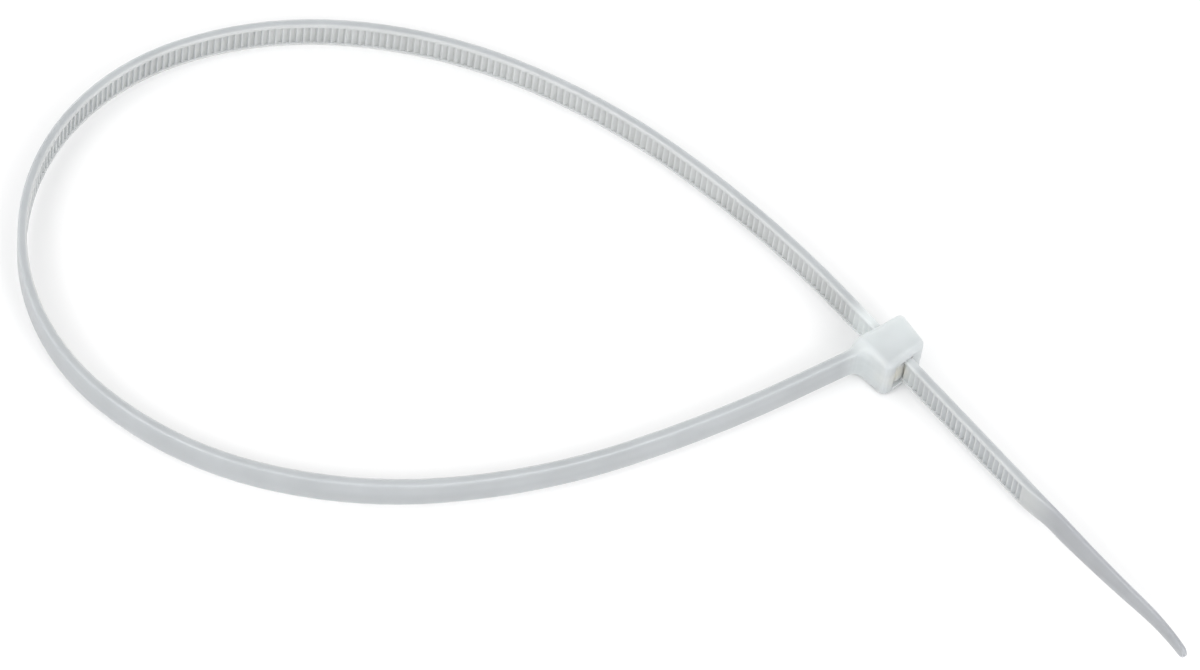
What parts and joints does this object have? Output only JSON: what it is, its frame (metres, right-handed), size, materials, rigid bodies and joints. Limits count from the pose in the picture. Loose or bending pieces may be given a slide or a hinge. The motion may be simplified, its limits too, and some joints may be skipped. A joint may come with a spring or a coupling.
{
  "type": "cable tie",
  "caption": "One-piece moulded cable tie closed into a loose teardrop loop, its toothed strap passed through its own head and a smooth tapered tail beyond.",
  "frame": {"origin": "centre of the loop's round end, which is the axis of the bundle that the tie holds, at half the strap's width", "axes": "+Z along the strap's width, which is the bundle's axis, and up as the tie lies; +X from the round end towards the head; +Y completes the frame, towards the leg that passes through the head"},
  "size_m": [0.1787, 0.0905, 0.008],
  "materials": {
    "natural_nylon": "translucent milky white moulded nylon, satin sheen"
  },
  "bodies": {
    "root": {"cable_tie": "natural_nylon"}
  },
  "joints": []
}
